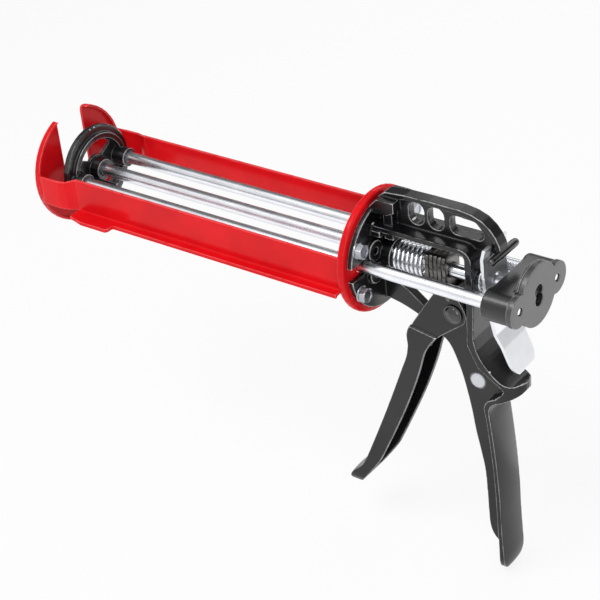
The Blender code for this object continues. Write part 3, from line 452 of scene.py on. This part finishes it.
metalLooks = {
    "chromePlate": {
        "colour": (0.86, 0.87, 0.9), "darkColour": (0.66, 0.68, 0.73), "streakScale": 1500.0,
        "roughness": 0.27, "spread": 0.1, "bump": 0.03,
    },
    "zincPlate": {
        "colour": (0.82, 0.83, 0.86), "darkColour": (0.6, 0.62, 0.66), "streakScale": 500.0,
        "roughness": 0.26, "spread": 0.1, "bump": 0.02,
    },
    "brightZinc": {
        "colour": (0.76, 0.76, 0.78), "darkColour": (0.68, 0.69, 0.71), "streakScale": 160.0,
        "roughness": 0.4, "spread": 0.05, "bump": 0.01,
    },
    "dullZinc": {
        "colour": (0.46, 0.47, 0.5), "darkColour": (0.26, 0.27, 0.3), "streakScale": 500.0,
        "roughness": 0.3, "spread": 0.1, "bump": 0.02,
    },
    "groundSteel": {
        "colour": (0.2, 0.19, 0.18), "darkColour": (0.035, 0.033, 0.032), "streakScale": 700.0,
        "roughness": 0.34, "spread": 0.2, "bump": 0.3,
    },
}
finishes = {name: paintedMaterial(name, look) for name, look in paintLooks.items()}
finishes.update({name: metalMaterial(name, look) for name, look in metalLooks.items()})
print("materials made:", len(finishes))

# what each material slot looks like, and the nodes whose own piece differs from its slot
slotFinish = {
    "red_paint": "redPaint", "black_enamel": "blackEnamel", "black_oxide": "blackOxide",
    "chrome": "chromePlate", "zinc": "zincPlate", "pale_plug": "palePlug",
}
ownFinish = {
    "yoke_plate": "capEnamel", "rear_yoke": "glossEnamel", "pusher": "glossEnamel",
    "release_plate": "brightZinc", "pivot_bolt": "barEnamel", "trigger_roller": "groundSteel",
}
plateNodes = ["drive_plate_%d" % number for number in range(1, 6)]
boltPlaces = [(row, side) for row in ("upper", "lower") for side in ("left", "right")]
ownFinish.update(dict.fromkeys(plateNodes, "groundSteel"))
ownFinish.update({"flange_bolt_%s_%s" % place: "dullZinc" for place in boltPlaces})


def finishFor(nodeName):
    return finishes[ownFinish.get(nodeName, slotFinish[slotOf[nodeName]])]


for nodeName, node in nodes.items():
    node.data.materials.clear()
    node.data.materials.append(finishFor(nodeName))


# cell: size the solid is rebuilt from; rounds: how often its edges are eased; keep: share of faces kept
softParts = {
    "bodyCasting": {"node": "body_casting", "cell": 0.4 * mm, "rounds": 3, "keep": 0.37},
    "frontYoke": {"node": "front_yoke", "cell": 0.5 * mm, "rounds": 3, "keep": 1.0},
    "leftRail": {"node": "left_rail", "cell": 0.5 * mm, "rounds": 3, "keep": 1.0},
    "rightRail": {"node": "right_rail", "cell": 0.5 * mm, "rounds": 3, "keep": 1.0},
    "rearRing": {"node": "rear_ring", "cell": 0.5 * mm, "rounds": 3, "keep": 1.0},
    "triggerLever": {"node": "trigger", "cell": 0.45 * mm, "rounds": 6, "keep": 1.0},
    "pusherDisc": {"node": "pusher", "cell": 0.35 * mm, "rounds": 2, "keep": 1.0},
    "rearYoke": {"node": "rear_yoke", "cell": 0.4 * mm, "rounds": 3, "keep": 1.0},
    "yokeCap": {"node": "yoke_plate", "cell": 0.3 * mm, "rounds": 3, "keep": 1.0},
    "releasePlate": {"node": "release_plate", "cell": 0.35 * mm, "rounds": 2, "keep": 1.0},
}
# how far the painted rails run on under the cup and the ring, and which points count as their ends
railLap = {"front": 1.8 * mm, "rear": 1.5 * mm, "near": 0.05 * mm}
# the gripped faces: way along X that they look, height, half width, crown, and the wall behind them
crowned = {
    "body_casting": {
        "way": 1, "bottom": -91.0 * mm, "top": 30.0 * mm, "half": 11.8 * mm,
        "crown": 1.1 * mm, "wall": 3.2 * mm, "step": 2.0 * mm, "fade": 8.0 * mm, "middle": 0.4,
    },
    "trigger": {
        "way": -1, "bottom": -64.0 * mm, "top": 64.0 * mm, "half": 11.5 * mm,
        "crown": 1.2 * mm, "wall": 2.2 * mm, "step": 2.0 * mm, "fade": 8.0 * mm, "middle": 0.4,
    },
}


def lapSeams(mesh):
    # the rails' ends run on by a short lap, so that the painted seams read as welded
    points = readPoints(mesh)
    low, high = points[:, 0].min(), points[:, 0].max()
    points[points[:, 0] < low + railLap["near"], 0] -= railLap["front"]
    points[points[:, 0] > high - railLap["near"], 0] += railLap["rear"]
    writePoints(mesh, points)


def crownFace(mesh, look):
    # the face sinks by the square of y: all of the sink at the face itself, none of it behind the wall,
    # and it fades out towards the top; the face's line is the outermost x in each short step of height
    points = readPoints(mesh)
    x, y, z = points.T
    out = look["way"] * x
    middle = (z < look["top"]) & (np.abs(y) < look["half"] * look["middle"])
    level = np.clip(((z - look["bottom"]) / look["step"]).astype(int), 0, None)
    line = np.full(level.max() + 1, -1.0)  # a metre inside, where a step has no point
    np.maximum.at(line, level[middle], out[middle])
    known = np.flatnonzero(line > -1)
    face = np.interp(z, look["bottom"] + (known + 0.5) * look["step"], line[known])
    depth = np.clip(1 - (face - out) / look["wall"], 0, 1)
    fade = np.clip((look["top"] - z) / look["fade"], 0, 1)
    sink = look["crown"] * (y / look["half"]) ** 2 * depth * fade ** 2 * (3 - 2 * fade)
    points[:, 0] -= look["way"] * sink
    writePoints(mesh, points)


def softenedCopy(name, look):
    # a cast or pressed piece: a copy of the solid is rebuilt from small cells, then its edges are eased
    nodeName = look["node"]
    mesh = nodes[nodeName].data.copy()
    weld(mesh, distance=2e-6)
    if nodeName in ("left_rail", "right_rail"):
        lapSeams(mesh)
    guide = bpy.data.objects.new(name + "Guide", mesh)
    bpy.context.scene.collection.objects.link(guide)
    cells = guide.modifiers.new("cells", "REMESH")
    cells.mode = "VOXEL"
    cells.voxel_size = look["cell"]
    ease = guide.modifiers.new("ease", "SMOOTH")
    ease.factor = 0.5
    ease.iterations = look["rounds"]
    if look["keep"] < 1:
        thin = guide.modifiers.new("thin", "DECIMATE")
        thin.ratio = look["keep"]
    bpy.context.view_layer.update()
    soft = bpy.data.meshes.new_from_object(guide.evaluated_get(bpy.context.evaluated_depsgraph_get()))
    bpy.data.objects.remove(guide)
    if nodeName in crowned:
        crownFace(soft, crowned[nodeName])
    print(name, len(soft.polygons), "faces")
    return adoptMesh(name, soft, nodeName)


for pieceName, look in softParts.items():
    softenedCopy(pieceName, look)
print("cast and pressed pieces made")


rodLook = {"frontRound": 0.5 * mm, "sides": 72, "stub": 2.1 * mm, "shoulder": 1.8 * mm}


def makeRod(pieceName, nodeName, hasStub):
    # a straight turned rod; a side rod ends in a thinner riveted stub, just before the cap plate
    low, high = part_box(nodeName)
    radius = (high.y - low.y) / 2
    centre = ((high.y + low.y) / 2, (high.z + low.z) / 2)
    corners = [(low.x, 0), (low.x, radius)]
    if hasStub:
        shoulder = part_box("yoke_plate")[0].x - rodLook["shoulder"]
        stub = rodLook["stub"]
        corners += [(shoulder, radius), (shoulder, stub), (high.x, stub), (high.x, 0)]
    else:
        corners += [(high.x, radius), (high.x, 0)]
    turnedPiece(pieceName, corners, centre, nodeName, rodLook["frontRound"], rodLook["sides"])


makeRod("leftRod", "left_rod", True)
makeRod("centreRod", "centre_rod", False)
makeRod("rightRod", "right_rod", True)
print("rods made")


mainSpring = {
    "wire": 1.05 * mm, "turns": 7.25, "closed": 0.75, "perTurn": 40, "closedPitch": 0.12,
    "startAngle": 0.6, "sides": 20, "joint": "drive_feed", "spare": 0.1 * mm,
}
releaseSpring = {
    "wire": 0.7 * mm, "turns": 2.25, "closed": 0.5, "perTurn": 40, "closedPitch": 0.12,
    "startAngle": 0.6, "sides": 20, "joint": "release_tilt", "spare": 0.1 * mm,
}


def makeSpring(pieceName, nodeName, look):
    # a helix whose pitch falls towards its ends: x grows with the summed pitch, y and z go round
    low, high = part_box(nodeName)
    wire = look["wire"]
    radius = (high.z - low.z) / 2 - wire
    turn = np.linspace(0, look["turns"], int(look["turns"] * look["perTurn"]) + 1)
    inward = np.clip(np.minimum(turn, look["turns"] - turn) / look["closed"], 0, 1)
    opened = inward ** 2 * (3 - 2 * inward)
    pitch = look["closedPitch"] + (1 - look["closedPitch"]) * (opened[1:] + opened[:-1]) / 2
    along = np.concatenate([[0], np.cumsum(pitch)])
    along = low.x + wire + (high.x - low.x - 2 * wire) * along / along[-1]
    angle = 2 * np.pi * turn + look["startAngle"]
    y = (high.y + low.y) / 2 + radius * np.cos(angle)
    z = rodHeight + radius * np.sin(angle)
    spring = tubePiece(pieceName, np.stack([along, y, z], axis=-1), wire, look["sides"], nodeName)
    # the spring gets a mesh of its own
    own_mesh(spring)


makeSpring("mainCoil", "main_spring", mainSpring)
makeSpring("releaseCoil", "release_spring", releaseSpring)
print("springs made")


# edge and easeShare ease the rims in two steps, power sets how square the outline is, and the rest
# gives each plate's rim its own slight ripple and bites
platesLook = {
    "edge": 0.35 * mm, "easeShare": 0.3, "inset": 0.02 * mm, "hole": 4.55 * mm, "sides": 96, "power": 9.0,
    "ripple": 0.25 * mm, "waves": 3, "shift": 2.1, "bites": 7, "biteLevel": -0.4,
}


def boxRadius(angle, half, low, high, power):
    # distance from the axis to a rectangle with softened corners, by a high-power norm
    up = np.where(np.sin(angle) > 0, high, -low)
    return (np.abs(np.cos(angle) / half) ** power + np.abs(np.sin(angle) / up) ** power) ** (-1 / power)


def makeDrivePlate(number, nodeName):
    # a punched plate: a round hole, flat faces and eased edges
    look = platesLook
    low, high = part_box(nodeName)
    angle = np.linspace(0, 2 * np.pi, look["sides"], endpoint=False)
    outer = boxRadius(angle, high.y, low.z - rodHeight, high.z - rodHeight, look["power"])
    wave = 1 + np.sin(angle * look["waves"] + number * look["shift"])
    bitten = np.sin(angle * look["bites"] + number) > look["biteLevel"]
    outer = outer - look["ripple"] * wave * bitten
    hole = np.full_like(angle, look["hole"])
    edge = look["edge"]
    ease = look["easeShare"] * edge
    front, rear = low.x + look["inset"], high.x - look["inset"]
    rows = [(front + edge, hole), (front, hole + edge), (front, outer - edge)]
    rows += [(front + ease, outer - ease), (front + edge, outer), (rear - edge, outer)]
    rows += [(rear - ease, outer - ease), (rear, outer - edge), (rear, hole + edge), (rear - edge, hole)]
    ringSolid("drivePlate%d" % number, rows, (0, rodHeight), nodeName)


for number, nodeName in enumerate(plateNodes, start=1):
    makeDrivePlate(number, nodeName)


pivotLook = {
    "headHeight": 3.4 * mm, "domeAngle": 48, "domeSteps": 9, "rim": 0.9 * mm, "rimRise": 0.15 * mm,
    "rimSlope": 0.1 * mm, "shank": 3.0 * mm, "bend": 0.2 * mm, "sides": 72,
}


def makePivotBolt():
    # a domed head on a shank: the head's face rises along a circle's arc, with a step at its rim
    look = pivotLook
    low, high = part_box("pivot_bolt")
    radius = (high.x - low.x) / 2
    centre = ((high.x + low.x) / 2, (high.z + low.z) / 2)
    headBack = low.y + look["headHeight"]
    domeRadius = radius - look["rim"]
    turn = np.linspace(0, 1, look["domeSteps"]) * math.radians(look["domeAngle"])
    arc = domeRadius / math.sin(turn[-1])
    corners = np.stack([low.y + arc * (1 - np.cos(turn)), arc * np.sin(turn)], axis=-1).tolist()
    rise = corners[-1][0] + look["rimRise"]
    corners += [(rise, domeRadius), (rise + look["rimSlope"], radius), (headBack, radius)]
    corners += [(headBack, look["shank"]), (high.y, look["shank"]), (high.y, 0)]
    acrossTurned("pivotBoltHead", corners, centre, "pivot_bolt", look["bend"], look["sides"])


makePivotBolt()


plugLook = {"crown": 0.05 * mm, "crownShare": 0.6, "rim": 0.25 * mm, "bend": 0.3 * mm, "sides": 72}


def makePlug():
    # a pale disc pressed into the handle, a little crowned, with an eased rim
    look = plugLook
    low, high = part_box("handle_plug")
    radius = (high.x - low.x) / 2
    centre = ((high.x + low.x) / 2, (high.z + low.z) / 2)
    inner = radius * look["crownShare"]
    corners = [(low.y, 0), (low.y + look["crown"], inner), (low.y + look["rim"], radius)]
    corners += [(high.y - look["rim"], radius), (high.y - look["crown"], inner), (high.y, 0)]
    acrossTurned("handlePlugDisc", corners, centre, "handle_plug", look["bend"], look["sides"])


makePlug()


hookLook = {
    "x": 7.4 * mm, "half": 12.2 * mm, "rise": 21.0 * mm, "radius": 2.4 * mm, "rows": 24, "sides": 28,
}


def makeHookBar():
    # the round stop bar across the beam's tail: a straight tube with domed ends
    look = hookLook
    y = np.linspace(-look["half"], look["half"], look["rows"])
    across = np.stack([np.full_like(y, look["x"]), y, np.full_like(y, rodHeight + look["rise"])], axis=-1)
    bar = tubePiece("hookBar", across, look["radius"], look["sides"], "body_casting", stands=False)
    bar.data.materials[0] = finishes["barEnamel"]


makeHookBar()


boltLook = {
    "nutFlat": 3.25 * mm, "nutLength": 3.0 * mm, "headLength": 5.0 * mm, "flatShare": 0.98,
    "shank": 2.4 * mm, "washer": 5.0 * mm, "washerLength": 0.9 * mm, "gap": 0.02 * mm, "sides": 96,
    "chamfer": 0.8 * mm, "lip": 0.15 * mm, "lipCut": 0.2 * mm, "cone": 1.04, "middle": 1.12,
    "middleStep": 0.6, "rimStep": 0.8, "dishShare": 0.72, "dishTaper": 0.93, "dishDepth": 0.35 * mm,
}


def hexRadius(angle, flat):
    # distance from the axis to a hexagon: its half width across flats, over the cosine of the angle from
    # the middle of the nearest flat
    return flat / np.cos((angle + np.pi / 6) % (np.pi / 3) - np.pi / 6)


def hexEnd(x, inward, flat, angle):
    # a hexagon's end, from the outside in: its corners are cut back by a cone in three steps
    look = boltLook
    whole = hexRadius(angle, flat)
    cone = np.minimum(whole, flat * look["cone"])
    middle = np.minimum(whole, flat * look["middle"])
    chamfer = inward * look["chamfer"]
    rows = [(x, cone - look["lipCut"]), (x + inward * look["lip"], cone)]
    return rows + [(x + chamfer * look["middleStep"], middle), (x + chamfer, whole)]


def makeFlangeBolt(pieceName, nodeName):
    # nut, shank, washer and head on one axis, with a dish in the head
    look = boltLook
    low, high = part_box(nodeName)
    centre = ((low.y + high.y) / 2, (low.z + high.z) / 2)
    angle = np.linspace(0, 2 * np.pi, look["sides"], endpoint=False)
    flat = (high.y - low.y) / 2 * look["flatShare"]
    nutEnd = low.x + look["nutLength"]
    headFront = high.x - look["headLength"]
    washerEnd = headFront + look["washerLength"]
    headStart = washerEnd + look["gap"]
    shank = np.full_like(angle, look["shank"])
    washer = np.full_like(angle, look["washer"])
    dish = np.full_like(angle, flat * look["dishShare"])
    nut = hexRadius(angle, look["nutFlat"])
    head = hexRadius(angle, flat)
    rows = hexEnd(low.x, 1, look["nutFlat"], angle)
    rows += [(nutEnd - look["chamfer"], nut), (nutEnd, nut), (nutEnd + look["gap"], shank)]
    rows += [(headFront, shank), (headFront, washer)]
    rows += [(headFront + look["washerLength"] * look["rimStep"], washer)]
    rows += [(washerEnd, washer - look["lipCut"]), (headStart, head), (headStart + look["chamfer"], head)]
    rows += hexEnd(high.x, -1, flat, angle)[::-1]
    rows += [(high.x, dish), (high.x - look["dishDepth"], dish * look["dishTaper"])]
    x, radius = (np.array(part) for part in zip(*rows))
    closedEnds(pieceName, x, radius, (x[0], x[-1]), centre, nodeName)


for row, side in boltPlaces:
    makeFlangeBolt("flangeBolt" + row.title() + side.title(), "flange_bolt_%s_%s" % (row, side))
print("plates and bolts made")


camera = {
    "azimuth": 39.978, "elevation": 31.959, "roll": -6.309, "lens": 104.866,
    "place": (0.4469, -0.7012, 0.6262), "sensor": 36.0, "farEnd": 20.0,
}


def makeCamera():
    azimuth, elevation, roll = (math.radians(camera[key]) for key in ("azimuth", "elevation", "roll"))
    flat = math.cos(elevation)
    back = Vector((math.sin(azimuth) * flat, -math.cos(azimuth) * flat, math.sin(elevation)))
    level = Vector((math.cos(azimuth), math.sin(azimuth), 0))
    rise = back.cross(level)
    right = level * math.cos(roll) + rise * math.sin(roll)
    up = rise * math.cos(roll) - level * math.sin(roll)
    data = bpy.data.cameras.new("camera")
    data.lens = camera["lens"]
    data.sensor_width = camera["sensor"]
    data.clip_end = camera["farEnd"]
    eye = bpy.data.objects.new("camera", data)
    bpy.context.scene.collection.objects.link(eye)
    turn = Matrix((right, up, back)).transposed().to_4x4()
    eye.matrix_world = Matrix.Translation(camera["place"]) @ turn
    bpy.context.scene.camera = eye


# drop: gap under the object; glow: how white the floor is to the eye and to reflections
floorLook = {"drop": 1.0 * mm, "white": (0.9, 0.9, 0.9), "roughness": 0.9, "half": 6.0, "glow": 0.85}
worldLook = {"light": 0.55, "seen": 1.0}


def seenRays(tree):
    # 1 for rays from the eye, from a reflection or through glass, 0 for light that falls on the object
    path = tree.nodes.new("ShaderNodeLightPath")
    seen = mathNode(tree, "ADD", path.outputs["Is Camera Ray"], path.outputs["Is Glossy Ray"], clamp=True)
    return mathNode(tree, "ADD", seen, path.outputs["Is Transmission Ray"], clamp=True)


def flatSheet(name, halfX, halfY, place):
    # one rectangle, placed by a matrix in its mesh, that belongs to the stage
    mesh = bpy.data.meshes.new(name)
    corners = [(-halfX, -halfY, 0), (halfX, -halfY, 0), (halfX, halfY, 0), (-halfX, halfY, 0)]
    mesh.from_pydata(corners, [], [(0, 1, 2, 3)])
    mesh.transform(place)
    sheet = bpy.data.objects.new(name, mesh)
    bpy.context.scene.collection.objects.link(sheet)
    return sheet


def makeFloor():
    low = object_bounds()[0][2] - floorLook["drop"]
    floor = flatSheet("floor", floorLook["half"], floorLook["half"], Matrix.Translation((0, 0, low)))
    material, tree, shader = newMaterial("floorWhite")
    shader.inputs["Base Color"].default_value = (*floorLook["white"], 1)
    shader.inputs["Roughness"].default_value = floorLook["roughness"]
    shader.inputs["Specular IOR Level"].default_value = 0.0
    glow = tree.nodes.new("ShaderNodeEmission")
    mix = tree.nodes.new("ShaderNodeMixShader")
    tree.links.new(mathNode(tree, "MULTIPLY", seenRays(tree), floorLook["glow"]), mix.inputs["Fac"])
    tree.links.new(shader.outputs["BSDF"], mix.inputs[1])
    tree.links.new(glow.outputs["Emission"], mix.inputs[2])
    tree.links.new(mix.outputs["Shader"], tree.nodes["Material Output"].inputs["Surface"])
    floor.data.materials.append(material)


def makeWorld():
    world = bpy.data.worlds.new("studio")
    bpy.context.scene.world = world
    world.use_nodes = True
    tree = world.node_tree
    background = tree.nodes["Background"]
    background.inputs["Color"].default_value = (1, 1, 1, 1)
    strength = rangeNode(tree, seenRays(tree), 0.0, 1.0, worldLook["light"], worldLook["seen"])
    tree.links.new(strength, background.inputs["Strength"])


lamps = {
    "keyLamp": {"place": (-0.3, -0.7, 1.3), "aim": (0, 0, 0.05), "size": (0.9, 0.5), "power": 9.0},
    "fillLamp": {"place": (0.9, -0.9, 0.6), "aim": (0, 0, 0.05), "size": (0.6, 0.9), "power": 4.0},
    "rimLamp": {"place": (-0.2, 1.1, 0.9), "aim": (0, 0, 0.1), "size": (1.2, 0.4), "power": 3.0},
}
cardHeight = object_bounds()[0][2] - 0.5 * mm  # the two low cards lie just over the floor
cards = {
    "backCard": {"place": (-0.9, 1.2, 1.0), "aim": (0, 0, 0.1), "size": (2.8, 2.0), "level": 0.16},
    "skyCard": {"place": (1.2, 1.0, 1.25), "aim": (0, 0, 0.1), "size": (1.8, 1.4), "level": 0.05},
    "frontCard": {"place": (-1.1, -1.3, 0.9), "aim": (0, 0, 0.1), "size": (2.2, 1.5), "level": 0.9},
    "lowCard": {
        "place": (-0.7, -0.75, cardHeight), "aim": (-0.7, -0.75, 1), "size": (1.9, 1.3), "level": 1.25,
    },
    "rearCard": {
        "place": (0.55, 0.5, cardHeight), "aim": (0.55, 0.5, 1), "size": (1.2, 0.8), "level": 1.6,
    },
}


def aimed(look):
    # stands at its place with -Z towards its aim
    turn = (Vector(look["aim"]) - Vector(look["place"])).to_track_quat("-Z", "Y").to_matrix().to_4x4()
    return Matrix.Translation(look["place"]) @ turn


def makeLamp(name, look):
    lamp = bpy.data.lights.new(name, "AREA")
    lamp.shape = "RECTANGLE"
    lamp.size, lamp.size_y = look["size"]
    lamp.energy = look["power"]
    holder = bpy.data.objects.new(name, lamp)
    bpy.context.scene.collection.objects.link(holder)
    holder.matrix_world = aimed(look)


def makeCard(name, look):
    # a plain card that only reflections see; it gives the metal and the gloss something to mirror
    card = flatSheet(name, look["size"][0] / 2, look["size"][1] / 2, aimed(look))
    material, tree, _ = newMaterial(name)
    glow = tree.nodes.new("ShaderNodeEmission")
    glow.inputs["Strength"].default_value = look["level"]
    tree.links.new(glow.outputs["Emission"], tree.nodes["Material Output"].inputs["Surface"])
    card.data.materials.append(material)
    card.visible_camera = False
    card.visible_diffuse = False
    card.visible_shadow = False
    card.visible_transmission = False


makeCamera()
makeFloor()
makeWorld()
for name, look in lamps.items():
    makeLamp(name, look)
for name, look in cards.items():
    makeCard(name, look)
scene = bpy.context.scene
scene.view_settings.view_transform = "Standard"
print("stage made")
